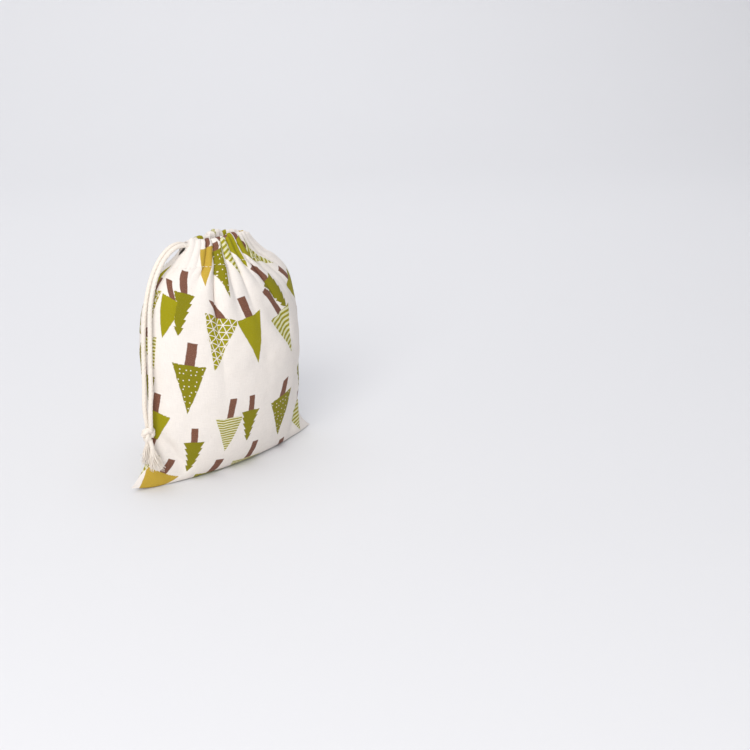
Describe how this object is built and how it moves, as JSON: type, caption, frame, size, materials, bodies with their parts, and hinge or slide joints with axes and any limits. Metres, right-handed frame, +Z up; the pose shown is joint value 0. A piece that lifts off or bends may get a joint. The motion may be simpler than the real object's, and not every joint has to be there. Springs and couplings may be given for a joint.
{
  "type": "drawstring gift pouch",
  "caption": "Upright cotton gift pouch, filled and drawn shut, with a tree print, a gathered hem casing and one knotted drawstring hanging down the left seam.",
  "frame": {"origin": "on the floor under the middle of the pouch, without its hanging cord", "axes": "+X along the width towards the closed seam, -Y out of the front face, +Z up; the cord leaves at -X"},
  "size_m": [0.2028, 0.09, 0.2073],
  "materials": {
    "printed_cotton": "matte",
    "cotton_reverse": "matte",
    "white_thread": "satin",
    "cotton_cord": "matte"
  },
  "bodies": {
    "pouch": {"front_panel": "printed_cotton", "back_panel": "printed_cotton", "bottom_fold": "printed_cotton", "left_seam_allowance": "cotton_reverse", "right_seam_allowance": "cotton_reverse", "left_overcast_thread": "white_thread", "right_overcast_thread": "white_thread", "slit_bartack": "white_thread"},
    "mouth_front": {"casing_front": "printed_cotton", "casing_stitches_front": "white_thread", "drawstring_in_front_casing": "cotton_cord"},
    "mouth_back": {"casing_back": "printed_cotton", "casing_stitches_back": "white_thread", "drawstring_in_back_casing": "cotton_cord"},
    "strands": {"front_strand": "cotton_cord", "back_strand": "cotton_cord"},
    "knot_and_tails": {"knot": "cotton_cord", "front_tail": "cotton_cord", "back_tail": "cotton_cord"}
  },
  "joints": [
    {"name": "mouth_opens_front", "type": "slide", "parent": "pouch", "child": "mouth_front", "axis": [0, -1, 0], "range_m": [0, 0.016]},
    {"name": "mouth_opens_back", "type": "slide", "parent": "pouch", "child": "mouth_back", "axis": [0, 1, 0], "range_m": [0, 0.016]},
    {"name": "drawstring_swing", "type": "hinge", "parent": "pouch", "child": "strands", "pos_m": [-0.032, 0, 0.2028], "axis": [0, 1, 0], "range_deg": [0, 50]},
    {"name": "knot_draws_in", "type": "slide", "parent": "strands", "child": "knot_and_tails", "axis": [0, 0, 1], "range_m": [0, 0.011], "deforming": ["front_strand", "back_strand"]}
  ],
  "couplings": [
    {"joint": "mouth_opens_back", "follows": "mouth_opens_front", "ratio": 1},
    {"joint": "knot_draws_in", "follows": "mouth_opens_front", "ratio": 0.6875}
  ]
}
